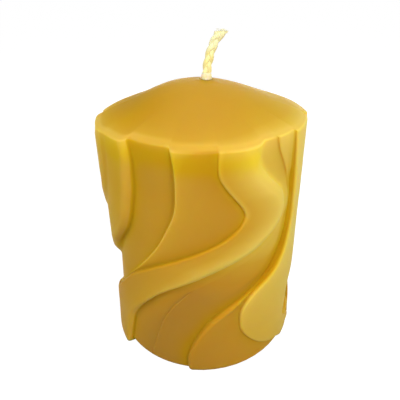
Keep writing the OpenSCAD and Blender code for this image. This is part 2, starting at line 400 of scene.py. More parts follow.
def tangent(points, i):
    a = points[max(0, i - 1)]
    b = points[min(len(points) - 1, i + 1)]
    return (b[1] - a[1]) / (b[0] - a[0])


def curve(points, x):
    """A smooth curve through the points of a line: its degrees at x percent of the height."""
    i = 0
    while i < len(points) - 2 and x > points[i + 1][0]:
        i += 1
    (x0, y0), (x1, y1) = points[i], points[i + 1]
    w = x1 - x0
    t = (x - x0) / w
    bow = (1.0 - t) * tangent(points, i) - t * tangent(points, i + 1)
    return mix(y0, y1, ease(t)) + w * t * (1.0 - t) * bow


def half_edges(h):
    """The lines of half a turn, kept in order where two of them meet."""
    lines = [curve(points, max(0.0, h - WAVE_LIFT)) for points in HALF_TURN]
    lines[SLOPING_PANEL] = min(lines[SLOPING_PANEL], lines[LONG_BAND] - LEAST_GAP)
    lines[DROP_PANEL] = max(lines[DROP_PANEL], lines[SHELF_PANEL] + LEAST_GAP)
    lines[FAR_PANEL] = min(lines[FAR_PANEL], lines[LEFT_CHANNEL] + 180.0 - LEAST_GAP)
    lines[RIDGE_PANEL] = min(lines[RIDGE_PANEL], lines[FAR_PANEL] - LEAST_GAP)
    return lines


def all_edges(h):
    """The lines of a whole turn, with a few more at both ends."""
    half = half_edges(h)
    numbers = range(-SPARE_LINES, EDGE_N + SPARE_LINES + 1)
    return [half[k % HALF_N] + 180.0 * (k // HALF_N) for k in numbers]


print("angles half way up:", [round(a) for a in half_edges(50.0)])

# %% Steps and panels at one height
# Width in millimetres of the round shoulder and of the hollow foot of the step at each line
SHOULDERS = [2.2, 0.7, 0.9, 3.2, 0.4, 1.4, 0.9, 1.2, 1.2, 3.0]
FEET = [0.7, 0.5, 0.7, 0.8, 0.3, 0.5, 1.8, 0.4, 0.4, 2.0]
# How much wider or narrower the step of a line gets below a height
LOW_STEPS = {LEFT_CHANNEL: (2.8, 56.0), LOW_FLOOR: (0.38, 57.0)}
LOW_STEP_SPAN = 14.0
STEP_SHARE = 0.46
OPEN_W = 5.7 * MM
RIM_START = 80.0
SLANT_PROBE = 0.5
DEG_ARC = BAND_R * math.pi / 180.0


def rim_share(h):
    return ease((h - RIM_START) / (100.0 - RIM_START))


class Row:
    """The angles, step widths and depths of all the lines at one height."""

    def __init__(self, h):
        self.h = h
        self.edges = all_edges(h)
        low = max(0.0, h - SLANT_PROBE)
        high = min(100.0, h + SLANT_PROBE)
        rise = (high - low) * SIDE_H / 100.0
        self.slants = [
            math.hypot(1.0, (b - a) * DEG_ARC / rise)
            for a, b in zip(all_edges(low), all_edges(high))]

    def edge(self, k):
        return self.edges[k + SPARE_LINES]

    def slant(self, k):
        return self.slants[k + SPARE_LINES]

    def width(self, k):
        return self.edge(k + 1) - self.edge(k)

    def falls(self, k):
        """Whether the surface drops at line k, going round to the right."""
        return self.depth(k - 1, 1) < self.depth(k, 0)

    def reach(self, k, widths):
        change, start = LOW_STEPS.get(k % HALF_N, (1.0, 0.0))
        width = widths[k % HALF_N] * mix(1.0, change, ease((start - self.h) / LOW_STEP_SPAN))
        return width * MM * self.slant(k) / DEG_ARC

    def before(self, k):
        widths = SHOULDERS if self.falls(k) else FEET
        return min(self.reach(k, widths), STEP_SHARE * self.width(k - 1))

    def after(self, k):
        widths = FEET if self.falls(k) else SHOULDERS
        return min(self.reach(k, widths), STEP_SHARE * self.width(k))

    def openness(self, first, last):
        """How far the panels from first to last are open together, from 0 to 1."""
        return ease((self.edge(last + 1) - self.edge(first)) * DEG_ARC / OPEN_W)

    def depth(self, k, end):
        """Depth at the start (0) or the end (1) of the panel after line k.

        The two floors beside the terrace open and close as one, and so do the ridge and far band.
        """
        panel = k % HALF_N
        if panel == RIDGE_PANEL:
            return mix(self.depth(k + 1, 0), plain_depth(k, self.h, end), self.openness(k, k))
        first = k - (panel in (HIGH_FLOOR, FAR_PANEL))
        last = k + (panel == LOW_FLOOR)
        beside = (plain_depth(first - 1, self.h, 1) + plain_depth(last + 1, self.h, 0)) / 2
        d = mix(beside, plain_depth(k, self.h, end), self.openness(first, last))
        if d > 0.0:
            d *= mix(1.0, CHANNEL_AT_RIM / CHANNEL, rim_share(self.h))
        if panel == HIGH_FLOOR:
            d -= terrace_rise(self.h)
        return d


middle_row = Row(50.0)
print("the long band is", round(middle_row.width(LONG_BAND), 1), "degrees wide half way up")

# %% [markdown]
# ## Columns across a step
# The skin's columns follow the lines instead of standing straight up, so every edge has its own
# rows of faces along it and stays crisp however it winds. Each line gets eleven columns across its
# step, spaced evenly round the two quarters of its profile, and each panel as many more as its
# width needs. At two of the lines the step turns into a gentle slope without an edge.

# %% Columns across a step
QUARTER = 5
STEP_COLUMNS = 2 * QUARTER + 1
PANEL_COLUMNS = [12, 9, 10, 12, 12, 8, 8, 2, 2, 8]
SHOULDER_SHARE = 0.86
# Below these heights the step of a line is a slope
SOFT_BELOW = {LEFT_CHANNEL: 54.0, FAR_PANEL: 120.0}
SOFT_SPAN = 8.0


def softness(line, h):
    return ease((SOFT_BELOW.get(line, 0.0) - h) / SOFT_SPAN)


def step_profile(i, falls, soft):
    """Place across a step from -1 to 1, and the share of its height passed by then."""
    share = SHOULDER_SHARE if falls else 1.0 - SHOULDER_SHARE
    a = math.pi / 2 * (i % QUARTER if i < STEP_COLUMNS - 1 else QUARTER) / QUARTER
    if i < QUARTER:
        place, passed = math.sin(a) - 1.0, share * (1.0 - math.cos(a))
    else:
        place, passed = 1.0 - math.cos(a), share + (1.0 - share) * math.sin(a)
    even = i / QUARTER - 1.0
    return mix(place, even, soft), mix(passed, ease((even + 1.0) / 2), soft)


print("half way across a step,", step_profile(QUARTER, True, 0.0)[1], "of its height has been passed")

# %% [markdown]
# ## Shades of the wax
# Every point also carries two values for the wax to use later: one of painted light and shade, and
# one of painted yellow. Painted shade darkens a channel's floor, and the foot of the candle. A raised
# edge gets a painted glow, the side towards the lamp gets painted light, and the wall of a step gets
# painted light at some lines and painted shade at others. In a cove, at the foot of a step, the light
# that bounces from wax to wax is painted as a strong yellow, and at two lines that painted glow
# climbs the wall. A texture can't follow lines that wind like these, so each vertex keeps its own
# shades.

# %% Painted shade of each panel
# Painted shade just after its line and just before the next
SHADE = [
    (0.5, 0.5), (0.25, 1.4), (0.65, 0.25), (0.4, 1.1), (1.55, 1.5), (0.85, 0.95), (-0.15, -0.15),
    (0.3, 0.3), (0.1, 0.1), (0.2, 0.2)]
# Painted shade that darkens the side towards the base, up to a height in percent
LOW_SHADE = 0.52
LOW_SHADE_TOP = 60.0
# The wide channel's floors get less painted shade in their upper half, and more again at the top
UPPER_SHADE = 0.15
UPPER_START = 38.0
UPPER_SPAN = 18.0
TOP_SHADE = {LOW_FLOOR: 0.6, HIGH_FLOOR: 0.2}
TOP_START = 74.0
TOP_SPAN = 12.0
# Painted light on the side of the candle towards the lamp, and the degrees where it is strongest
PAINTED_SIDE_LIGHT = 0.72
PAINTED_LIGHT_SIDE = 60.0


def panel_shade(k, h, end):
    panel = k % HALF_N
    shade = SHADE[panel][end]
    if panel in TOP_SHADE:
        middle = mix(1.0, UPPER_SHADE, ease((h - UPPER_START) / UPPER_SPAN))
        shade *= mix(middle, TOP_SHADE[panel], ease((h - TOP_START) / TOP_SPAN))
    return shade + LOW_SHADE * ease(1.0 - h / LOW_SHADE_TOP)


def painted_side_light(deg):
    return PAINTED_SIDE_LIGHT * max(0.0, math.cos(math.radians(deg - PAINTED_LIGHT_SIDE))) ** 2


print("the shelf's shade at the base is", round(panel_shade(SHELF_PANEL, 0.0, 0), 2))

# %% Painted glow on edges and in coves, painted light and shade on walls
FULL_STEP = 1.5 * MM
# Painted glow along each line's raised edge: how strong, how far in millimetres, and how much weaker
# low down
PAINTED_EDGE_GLOW = [0.5, 0.3, 0.2, 1.2, 0.0, 0.45, 0.3, 0.5, 0.6, 0.2]
EDGE_GLOW_REACH = [2.6, 4.0, 2.0, 4.5, 1.0, 4.0, 4.0, 3.0, 2.6, 2.6]
LOW_EDGE_GLOW = 0.5
EDGE_GLOW_START = 30.0
EDGE_GLOW_SPAN = 30.0
# Painted yellow glow at each line's foot: how strong, how far in millimetres, and how much more near
# the base
COVE = [1.4, 0.6, 1.6, 0.5, 0.0, 1.4, 0.6, 0.2, 0.1, 0.0]
COVE_REACH = [2.2, 1.6, 1.6, 1.6, 1.0, 2.2, 1.6, 1.6, 1.6, 1.6]
FOOT_COVE = 1.0
FOOT_COVE_TOP = 22.0
FOOT_COVE_SPAN = 10.0
# Painted yellow over the whole far panel
FAR_GLOW = 0.4
# How far the painted cove glow climbs the wall behind it, low and high up, and its reach in
# millimetres
CLIMBS = {LONG_BAND: (1.0, 0.0, 0.5), SHELF_PANEL: (0.6, 1.0, 0.9)}
NO_CLIMB = (0.0, 0.0, 1.0)
# Painted light on each line's wall, and painted shade where the value is below 0: low down and high
# up, its width and its place in millimetres
WALL = [
    (0.0, 0.0), (0.2, 0.5), (-0.8, 0.9), (0.5, 0.6), (-3.0, -2.0), (-0.9, -0.8), (0.3, -0.4),
    (0.0, 0.0), (0.0, 0.0), (0.0, 0.0)]
WALL_W = [0.5, 0.5, 0.8, 0.8, 0.5, 1.4, 0.8, 0.5, 0.5, 0.5]
WALL_AT = [0.0, 0.0, 0.2, 0.0, 0.0, -1.2, 0.0, 0.0, 0.0, 0.0]
# The height at which walls start to change, and where one of them does so later
WALL_START = 36.0
WALL_LATER = {LONG_BAND: 66.0}
WALL_SPAN = 10.0


def shades(row, lines, deg, shade):
    """Painted light and shade, and painted cove yellow, at a point from the lines near it."""
    painted_light, painted_yellow = painted_side_light(deg) - shade, 0.0
    strength = mix(LOW_EDGE_GLOW, 1.0, ease((row.h - EDGE_GLOW_START) / EDGE_GLOW_SPAN))
    foot_glow = 1.0 + FOOT_COVE * ease((FOOT_COVE_TOP - row.h) / FOOT_COVE_SPAN)
    for k in lines:
        line = k % HALF_N
        jump = (row.depth(k - 1, 1) - row.depth(k, 0)) / FULL_STEP
        step = min(1.0, abs(jump))
        away = (deg - row.edge(k)) * DEG_ARC / row.slant(k) / MM
        high = ease((row.h - WALL_LATER.get(line, WALL_START)) / WALL_SPAN)
        if jump * away > 0.0:
            painted_light += strength * PAINTED_EDGE_GLOW[line] * step * math.exp(-abs(away) / EDGE_GLOW_REACH[line])
            low_share, high_share, climb = CLIMBS.get(line, NO_CLIMB)
            share = mix(low_share, high_share, high)
            painted_yellow += share * COVE[line] * step * math.exp(-abs(away) / climb)
        else:
            painted_yellow += COVE[line] * step * math.exp(-abs(away) / COVE_REACH[line]) * foot_glow
        wall = mix(*WALL[line], high)
        painted_light += wall * step * math.exp(-((away - WALL_AT[line]) / WALL_W[line]) ** 2)
    return painted_light, painted_yellow


print("shades facing the camera:", [round(v, 2) for v in shades(middle_row, (LOW_FLOOR,), 0.0, 0.0)])

# %% All the points of a row
def ring(h):
    """(degrees, radius, painted light, painted yellow) of every column at a percent of the side's
    height.
    """
    row = Row(h)
    points = []
    for k in range(EDGE_N):
        d0 = row.depth(k - 1, 1)
        d1 = row.depth(k, 0)
        d2 = row.depth(k, 1)
        for i in range(STEP_COLUMNS):
            s, passed = step_profile(i, d0 < d1, softness(k % HALF_N, h))
            deg = row.edge(k) + s * (row.before(k) if s < 0.0 else row.after(k))
            d = mix(d0, d1, passed)
            shade = mix(panel_shade(k - 1, h, 1), panel_shade(k, h, 0), passed)
            points.append((deg, BAND_R - d, *shades(row, (k - 1, k, k + 1), deg, shade)))
        a = row.edge(k) + row.after(k)
        b = row.edge(k + 1) - row.before(k + 1)
        n = PANEL_COLUMNS[k % HALF_N]
        for i in range(1, n + 1):
            t = i / (n + 1)
            deg = mix(a, b, t)
            d = mix(d1, d2, t)
            shade = mix(panel_shade(k, h, 0), panel_shade(k, h, 1), t)
            painted_light, painted_yellow = shades(row, (k, k + 1), deg, shade)
            # The far panel is painted yellow all over
            if k % HALF_N == FAR_PANEL:
                painted_yellow += FAR_GLOW
            points.append((deg, BAND_R - d, painted_light, painted_yellow))
    return points


foot = ring(0.0)
rim = ring(100.0)
print(len(rim), "columns round the candle")

# %% [markdown]
# ## The top
# The crown is a low cone with a round middle. Round it runs a soft rim that follows the bands in
# and out and stands a little over the crown, higher at some panels and lower at others, because
# candles are trimmed by hand. On the far left both have sunk a little, beyond a low hump. The rise
# of the rim is smoothed along its inner edge, so that no streaks run in across the crown. Wax also
# climbs a little up the wick, in a shallow dimple.

# %% Rise of the rim
RIM_LIFT = [-0.2, -1.6, -0.7, 1.0, 1.0, 1.0, 0.7, 0.0, 1.0, 0.3]
LIP_BLUR = 12


def by_column(panel_values):
    """A value for every column from one for each panel, eased across each step."""
    values = []
    for k in range(EDGE_N):
        a = panel_values[(k - 1) % HALF_N]
        b = panel_values[k % HALF_N]
        values += [mix(a, b, ease(i / (STEP_COLUMNS - 1))) for i in range(STEP_COLUMNS)]
        values += [b] * PANEL_COLUMNS[k % HALF_N]
    return values


def apart(a, b):
    """The angle between two directions, from 0 to 180."""
    return abs((a - b + 180.0) % 360.0 - 180.0)


def blurred(lifts, degrees):
    """Each column's mean of the lifts within a few degrees to either side."""
    out = []
    for at in degrees:
        near = [lift for lift, deg in zip(lifts, degrees) if apart(deg, at) < LIP_BLUR]
        out.append(sum(near) / len(near))
    return out


rim_lifts = [RIM_WAVE * value for value in by_column(RIM_LIFT)]
lip_lifts = blurred(rim_lifts, [point[0] for point in rim])
print("rim rises from", round(min(rim_lifts) / MM, 2), "to", round(max(rim_lifts) / MM, 2), "mm")

# %% Height of the crown
CLIMB = 0.35 * MM
CLIMB_REACH = 0.8 * MM
DIMPLE = 0.20 * MM
DIMPLE_R = 4.0 * MM
DIMPLE_REACH = 2.0 * MM
SAG = 0.45 * MM
SAG_SIDE = -125.0
SAG_IN = 15.0 * MM
HUMP = 0.4 * MM
HUMP_R = 13.0 * MM
HUMP_REACH = 6.0 * MM


def bowl(r):
    return math.hypot(r, CROWN_TIP) - CROWN_TIP


def crown_z(r):
    return SIDE_H + CROWN_RISE * (1.0 - bowl(r) / bowl(BAND_R))


def on_candle(deg, r, z, shift=0.0):
    a = math.radians(deg)
    return Vector((r * math.sin(a) + shift, -r * math.cos(a), z))


def sag(deg, r):
    """How far the crown and its rim have sunk on the far left, beyond a low hump."""
    side = max(0.0, math.cos(math.radians(deg - SAG_SIDE))) ** 2
    hump = HUMP * math.exp(-((r - HUMP_R) / HUMP_REACH) ** 2)
    return side * (SAG * ease((r - SAG_IN) / (BAND_R - RIM_W - SAG_IN)) - hump)


def on_crown(deg, r, lift):
    """A point of the crown: the rings near the middle are centred on the wick."""
    near = ease(1.0 - (r - WICK_R) / (BAND_R - WICK_R))
    p = on_candle(deg, r, 0.0, WICK_OFF * near)
    from_wick = math.hypot(p.x - WICK_OFF, p.y)
    p.z = crown_z(math.hypot(p.x, p.y)) + lift
    p.z += CLIMB * math.exp(-(from_wick - WICK_R) / CLIMB_REACH)
    p.z -= DIMPLE * math.exp(-((from_wick - DIMPLE_R) / DIMPLE_REACH) ** 2)
    p.z -= sag(deg, r)
    return p


print("the crown is", round(crown_z(BAND_R / 2) / MM, 1), "mm high half way in")

# %% [markdown]
# ## Shades of the top
# The rim is thin and lets light through. That light is painted: the top of the side and the rim's
# inner edge are painted paler, the inner edge most of all on the left. Just under the rim a few
# panels get a painted yellow glow. Both sides of the crown are painted a stronger yellow, and
# painted shade darkens its far left.

# %% Shades of the top
# Painted light on the rim and the top of the side: how much paler, and how far down and in it fades
RIM_PAINTED_LIGHT = 0.40
RIM_SIDE = -75.0
STRIP_PAINTED_LIGHT = 0.45
STRIP_FADE = 2.8 * MM
TOP_PAINTED_LIGHT = 0.3
TOP_FADE = 11.0 * MM
# Painted yellow glow of each panel under the rim, and how far down
RIM_COVE = [1.0, 1.2, 0.9, 0.0, 0.0, 0.0, 0.0, 0.0, 0.2, 0.8]
RIM_COVE_AT = 3.5 * MM
# How far the rim's painted light reaches into the crown, the painted shade over the crown and on its
# far left, and the painted yellow on its two sides
CROWN_FADE = 3.0 * MM
CROWN_SHADE = 0.55
LEFT_SHADE = 1.0
LEFT_SIDE = -110.0
LEFT_START = 6.0 * MM
LEFT_SPAN = 16.0 * MM
LEFT_GLOW = 1.9
RIGHT_GLOW = 1.5


def facing(deg, side):
    """1 at one side of the candle, falling to 0 opposite."""
    return 0.5 + 0.5 * math.cos(math.radians(deg - side))


def strip_painted_light(deg):
    """Painted light at the top of the side: most where it faces the camera."""
    return STRIP_PAINTED_LIGHT * facing(deg, 0.0)


def rim_inside(deg):
    """Painted light on the inner edge of the rim: most on the left, and on the side with painted side
    light.
    """
    return painted_side_light(deg) + RIM_PAINTED_LIGHT * facing(deg, RIM_SIDE) ** 2


def crown_shade(deg, r):
    """Painted shade on the crown, more on its far left."""
    side = max(0.0, math.cos(math.radians(deg - LEFT_SIDE)))
    return CROWN_SHADE + LEFT_SHADE * side * ease((r - LEFT_START) / LEFT_SPAN)


def crown_glow(deg, r):
    """Painted glow: both sides of the crown are painted a stronger yellow."""
    side = math.sin(math.radians(deg))
    return (LEFT_GLOW if side < 0.0 else RIGHT_GLOW) * side * side * ease(r / BAND_R)


rim_glows = by_column(RIM_COVE)
print("the rim's inner edge on the left is paler by", round(rim_inside(RIM_SIDE), 2))

# %% [markdown]
# ## Rows of the skin
# The skin is one closed shell: up the side, over the rim, in across the crown, down the wick's
# channel and out again under the base. Separate pieces would be easier, but light that travels in
# the wax needs one body without seams. Each row of the shell is a list of points, one for each
# column. The rows lie closest together at the rim, where the shell turns over.

# %% Rows of the side
FOOT_EDGE = 1.5 * MM
FOOT_SHARP = 1.2
FOOT_LEAST = 0.3 * MM


def foot_edge(r):
    """The foot is rounder under the channels and sharper under the bands."""
    return max(FOOT_LEAST, FOOT_EDGE - FOOT_SHARP * (r - BAND_R))


def side_row(h, inset=0.0):
    """A row of the side, drawn in by a share of the foot's round edge."""
    points = []
    for (deg, r, painted_light, painted_yellow), (_, top_r, *_), lift, glow in zip(ring(h), rim, rim_lifts, rim_glows):
        top = crown_z(top_r) + lift - sag(deg, top_r)
        z = h / 100.0 * SIDE_H + (top - SIDE_H) * rim_share(h)
        below = top - z
        # Painted light at the top of the side, and a painted yellow glow just under the rim
        painted_light += strip_painted_light(deg) * math.exp(-below / STRIP_FADE)
        painted_light += TOP_PAINTED_LIGHT * math.exp(-below / TOP_FADE)
        painted_yellow += glow * math.exp(-((below - RIM_COVE_AT) / RIM_COVE_AT) ** 2)
        points.append((on_candle(deg, r - inset * foot_edge(r), z), painted_light, painted_yellow))
    return points


print("the foot's edge under the bands is", round(foot_edge(BAND_R) / MM, 2), "mm")

# %% Rows of the rim, the crown and the base
LIP_SHARE = 0.35
LIP_REACH = 0.35
HOLE_R = WICK_R + 0.02 * MM
BASE_HOLLOW = 0.5 * MM
BASE_STEEP = 1.4


def rim_row(t):
    """A row of the rim, from its outer edge (0) to its inner edge (1)."""
    points = []
    for (deg, r, painted_light, _), lift, lip in zip(rim, rim_lifts, lip_lifts):
        inner = RIM_LIP + LIP_SHARE * lip
        r_here = r - RIM_W * t
        z = crown_z(r_here) + mix(lift, inner, t) - sag(deg, r_here)
        # Painted light of the side's top, fading into the painted light of the rim's inner edge
        outside = TOP_PAINTED_LIGHT + strip_painted_light(deg) + painted_light
        points.append((on_candle(deg, r_here, z), mix(outside, rim_inside(deg), ease(2.0 * t)), 0.0))
    return points


def crown_row(t):
    """A row of the crown, from the rim (0) to the wick's hole (1)."""
    points = []
    for (deg, r, *_), lip in zip(rim, lip_lifts):
        r_here = mix(r - RIM_W, HOLE_R, t)
        lift = (RIM_LIP + LIP_SHARE * lip) * (1.0 - ease(t / LIP_REACH))
        # The rim's painted light fades into the crown's painted shade and painted yellow
        fade = CROWN_FADE * (1.0 + painted_side_light(deg) / PAINTED_SIDE_LIGHT)
        fall = math.exp(-(r - RIM_W - r_here) / fade)
        painted_light = mix(-crown_shade(deg, r_here), rim_inside(deg), fall)
        points.append((on_crown(deg, r_here, lift), painted_light, crown_glow(deg, r_here) * (1.0 - fall)))
    return points


def hole_row(z):
    return [(on_candle(deg, HOLE_R, z, WICK_OFF), 0.0, 0.0) for deg, *_ in rim]


def base_row(t):
    """A row under the base, from the wick's hole (0) to the foot (1)."""
    z = BASE_HOLLOW * ease((1.0 - t) * BASE_STEEP)
    shift = WICK_OFF * (1.0 - t)
    return [
        (on_candle(deg, mix(HOLE_R, r - foot_edge(r), t), z, shift), 0.0, 0.0) for deg, r, *_ in foot]


print("the base is hollow by", BASE_HOLLOW / MM, "mm at the wick")

# %% All the rows
FOOT_ROWS = 5
SIDE_ROWS = 150
EDGE_ROWS = 12
EDGE_START = 97.0
RIM_ROWS = 8
CROWN_ROWS = 34
CROWN_CROWDING = 1.4
CHANNEL_ROWS = 5
BASE_ROWS = 10


def skin_rows():
    foot_pct = FOOT_EDGE / SIDE_H * 100.0
    rows = []
    for i in range(FOOT_ROWS):
        a = math.pi / 2 * i / FOOT_ROWS
        rows.append(side_row(foot_pct * (1.0 - math.cos(a)), 1.0 - math.sin(a)))
    rows += [side_row(mix(foot_pct, EDGE_START, i / SIDE_ROWS)) for i in range(SIDE_ROWS)]
    rows += [side_row(mix(EDGE_START, 100.0, i / EDGE_ROWS)) for i in range(EDGE_ROWS)]
    rim_at = len(rows)
    rows += [rim_row(i / RIM_ROWS) for i in range(RIM_ROWS)]
    rows += [crown_row((i / CROWN_ROWS) ** CROWN_CROWDING) for i in range(CROWN_ROWS + 1)]
    rows += [hole_row(mix(WICK_Z, BASE_HOLLOW, i / CHANNEL_ROWS)) for i in range(1, CHANNEL_ROWS + 1)]
    rows += [base_row(i / BASE_ROWS) for i in range(1, BASE_ROWS)]
    return rows, rim_at


rows, rim_at = skin_rows()
print(len(rows), "rows of", len(rows[0]), "points; the rim starts at row", rim_at)

# %% [markdown]
# ## Wrap a sheet and weld it
# A flat grid has one vertex for every row and column, and one row and one column to spare. Each of
# its vertices moves to its point on the candle, which wraps the sheet right round. The spare row
# and column land exactly on the first ones, and welding them closes the shell.

# %% Wrap and weld the wax
WELD = 0.0001 * MM


def wrapped_sheet(rows):
    """A closed shell through the rows, each vertex marked with its row."""
    row_n, column_n = len(rows), len(rows[0])
    bm = bmesh.new()
    bmesh.ops.create_grid(bm, x_segments=column_n, y_segments=row_n, size=1.0)
    mark = bm.verts.layers.int.new("row")
    painted_light = bm.verts.layers.float.new("painted_light")
    painted_yellow = bm.verts.layers.float.new("painted_yellow")
    for vert in bm.verts:
        column = round((vert.co.x + 1.0) / 2 * column_n) % column_n
        row = round((vert.co.y + 1.0) / 2 * row_n) % row_n
        vert[mark] = row
        vert.co, vert[painted_light], vert[painted_yellow] = rows[row][column]
    bmesh.ops.remove_doubles(bm, verts=bm.verts[:], dist=WELD)
    bmesh.ops.recalc_face_normals(bm, faces=bm.faces[:])
    return bm, mark


wax_bm, row_mark = wrapped_sheet(rows)
open_edges = sum(1 for edge in wax_bm.edges if not edge.is_manifold)
print("shell of", len(wax_bm.verts), "vertices with", open_edges, "open edges")

# %% [markdown]
# ## Soften the casting
# Wax shrinks as it sets, so nothing on it is quite sharp or quite flat. Smoothing a band of rows
# at the rim rounds both of its corners. Then a slow noise sinks the whole skin by about a tenth
# of a millimetre here and there, which makes the light on it swim a little.

# %% Round the rim
ROUND_ROWS = 12
ROUND_TIMES = 9
ROUND_FACTOR = 0.5

for i in range(ROUND_TIMES):
    reach = ROUND_ROWS - i
    rim_verts = [
        v for v in wax_bm.verts
        if rim_at - reach <= v[row_mark] <= rim_at + RIM_ROWS + reach // 2]
    bmesh.ops.smooth_vert(
        wax_bm, verts=rim_verts, factor=ROUND_FACTOR,
        use_axis_x=True, use_axis_y=True, use_axis_z=True)
wax_bm.normal_update()
print("rounded", len(rim_verts), "vertices at the rim")

# %% Sink the skin
SINK = 0.10 * MM
SINK_SWIM = 0.7
SINK_SCALE = 55.0
FINE_SCALE = 3.7
FINE_SHARE = 0.4
CALM_ROWS = 4

outside_rows = rim_at + RIM_ROWS + CROWN_ROWS - CALM_ROWS
sunk = [vert for vert in wax_bm.verts if 0 < vert[row_mark] < outside_rows]
for vert in sunk:
    swim = noise.noise(vert.co * SINK_SCALE)
    swim += FINE_SHARE * noise.noise(vert.co * SINK_SCALE * FINE_SCALE)
    vert.co -= vert.normal * SINK * (1.0 + SINK_SWIM * swim)
print("sank", len(sunk), "vertices")

# %% [markdown]
# ## Wax
# Beeswax is amber, a little cloudy, and light sinks some millimetres into it before it comes out
# again. Subsurface scattering does that, with a long way for red and a short one for blue. The two
# painted values from the relief set the tint: painted shade makes the channels' floors deep amber,
# the bands keep their honey colour, painted glow makes raised edges pale yellow, and the coves are
# painted a stronger yellow. A soft noise clouds it. The shine is faint, a finer noise varies it, and
# a slight bump keeps the surface from looking like plastic.

# %% Tint from the relief, with painted light and shade
# Amber in deep painted shade and in painted shade, its own honey colour, its painted glow, and the
# coves' painted yellow tint
PAINTED_DARK_SHADE_AMBER = (0.47, 0.240, 0.030)
PAINTED_SHADE_AMBER = (0.55, 0.277, 0.025)
HONEY = (0.63, 0.358, 0.033)
PAINTED_GLOW_YELLOW = (0.83, 0.588, 0.106)
PAINTED_COVE_TINT = (1.01, 1.04, 0.25)
TINT_STOPS = [(0.0, PAINTED_DARK_SHADE_AMBER), (0.2, PAINTED_SHADE_AMBER), (0.6, HONEY), (1.0, PAINTED_GLOW_YELLOW)]
# The values of painted shade and painted light at the two ends of the tint
DEEPEST_PAINTED_SHADE = -1.5
PALEST_PAINTED_GLOW = 1.0


def relief_tint(tree):
    painted_light = add_node(tree, "ShaderNodeAttribute", attribute_name="painted_light")
    painted_yellow = add_node(tree, "ShaderNodeAttribute", attribute_name="painted_yellow")
    spread = range_node(tree, painted_light.outputs["Fac"], {"From Min": DEEPEST_PAINTED_SHADE, "From Max": PALEST_PAINTED_GLOW})
    glow = multiply_node(tree)
    glow.inputs["B"].default_value = (*PAINTED_COVE_TINT, 1.0)
    tree.links.new(painted_yellow.outputs["Fac"], glow.inputs["Factor"])
    tree.links.new(ramp_node(tree, spread, TINT_STOPS), glow.inputs["A"])
    return glow.outputs["Result"]


print("the tint runs through", len(TINT_STOPS), "colours")

# %% Wax material
CLOUD_SCALE = 45.0
CLOUD_STOPS = [(0.3, (0.96, 0.95, 0.92)), (0.7, (1.0, 1.0, 1.0))]
SHEEN_SCALE = 160.0
SHEEN_ROUGH = {"To Min": 0.40, "To Max": 0.54}
GRAIN_SCALE = 420.0


def make_wax():
    material, tree, shader = new_material("beeswax")
    place = add_node(tree, "ShaderNodeTexCoord").outputs["Object"]
    haze = ramp_node(tree, noise_node(tree, place, CLOUD_SCALE, 4.0), CLOUD_STOPS)
    clouded = multiply_node(tree)
    clouded.inputs["Factor"].default_value = 1.0
    tree.links.new(relief_tint(tree), clouded.inputs["A"])
    tree.links.new(haze, clouded.inputs["B"])
    tree.links.new(clouded.outputs["Result"], shader.inputs["Base Color"])
    shader.subsurface_method = "RANDOM_WALK"
    set_sockets(shader, {
        "Subsurface Weight": 0.85, "Subsurface Radius": (1.0, 0.55, 0.12),
        "Subsurface Scale": 4.0 * MM, "IOR": 1.44, "Specular IOR Level": 0.015})
    gloss = range_node(tree, noise_node(tree, place, SHEEN_SCALE, 4.0), SHEEN_ROUGH)
    tree.links.new(gloss, shader.inputs["Roughness"])
    grain = noise_node(tree, place, GRAIN_SCALE, 5.0, 0.6)
    add_bump(tree, shader, grain, 0.12, 0.2 * MM)
    return material


wax = finish_mesh(wax_bm, "wax_skin", make_wax())
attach(wax, "root")
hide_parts("wax_body")

# %% [markdown]
# ## Wick
# The wick is a plait of three thick cotton strands, each of many yarns, stiff and smooth with wax.
# Its free end stands up from the crown and leans over to the right along an arc. A striped rod would
# do from afar, but real strands throw shadows into the plait and can end in a real cut. Scissors cut
# it level, and the strands have sprung apart a little there.

# %% Path of the wick
WICK_FREE = 15.0 * MM
WICK_LEAN = math.radians(33.0)
WICK_BEND_R = WICK_FREE / WICK_LEAN


def wick_frame(s):
    """Place and sideways direction at a length s along the free wick."""
    if s < 0.0:
        return Vector((WICK_OFF, 0.0, WICK_Z + s)), Vector((1.0, 0.0, 0.0))
    a = s / WICK_BEND_R
    place = Vector((
        WICK_OFF + WICK_BEND_R * (1.0 - math.cos(a)), 0.0, WICK_Z + WICK_BEND_R * math.sin(a)))
    return place, Vector((math.cos(a), 0.0, -math.sin(a)))


print("the wick's path ends at", [round(v / MM, 1) for v in wick_frame(WICK_FREE)[0]], "mm")

# %% Middle of each strand
STRAND_N = 3
PLAIT_SIDE = 0.60 * MM
PLAIT_DEEP = 0.30 * MM
PLAIT_PITCH = 10.5 * MM
SPLAY = 0.95 * MM
SPLAY_START = 11.0 * MM
SPLAY_LENGTH = 4.5 * MM


def plait_turn(k, s):
    return 2.0 * math.pi * (s / PLAIT_PITCH + k / STRAND_N)


def strand_middle(k, s):
    """Strands swing from side to side and over each other, and splay near the cut."""
    place, side = wick_frame(s)
    turn = plait_turn(k, s)
    splay = SPLAY * ease((s - SPLAY_START) / SPLAY_LENGTH)
    out = PLAIT_SIDE * math.sin(turn)
    out += splay * (1.0 + math.sin(plait_turn(k, WICK_FREE))) / 2
    return place + side * out + Vector((0.0, PLAIT_DEEP * math.sin(2.0 * turn), 0.0))


print("the first strand starts at", [round(v / MM, 1) for v in strand_middle(0, 0.0)], "mm")

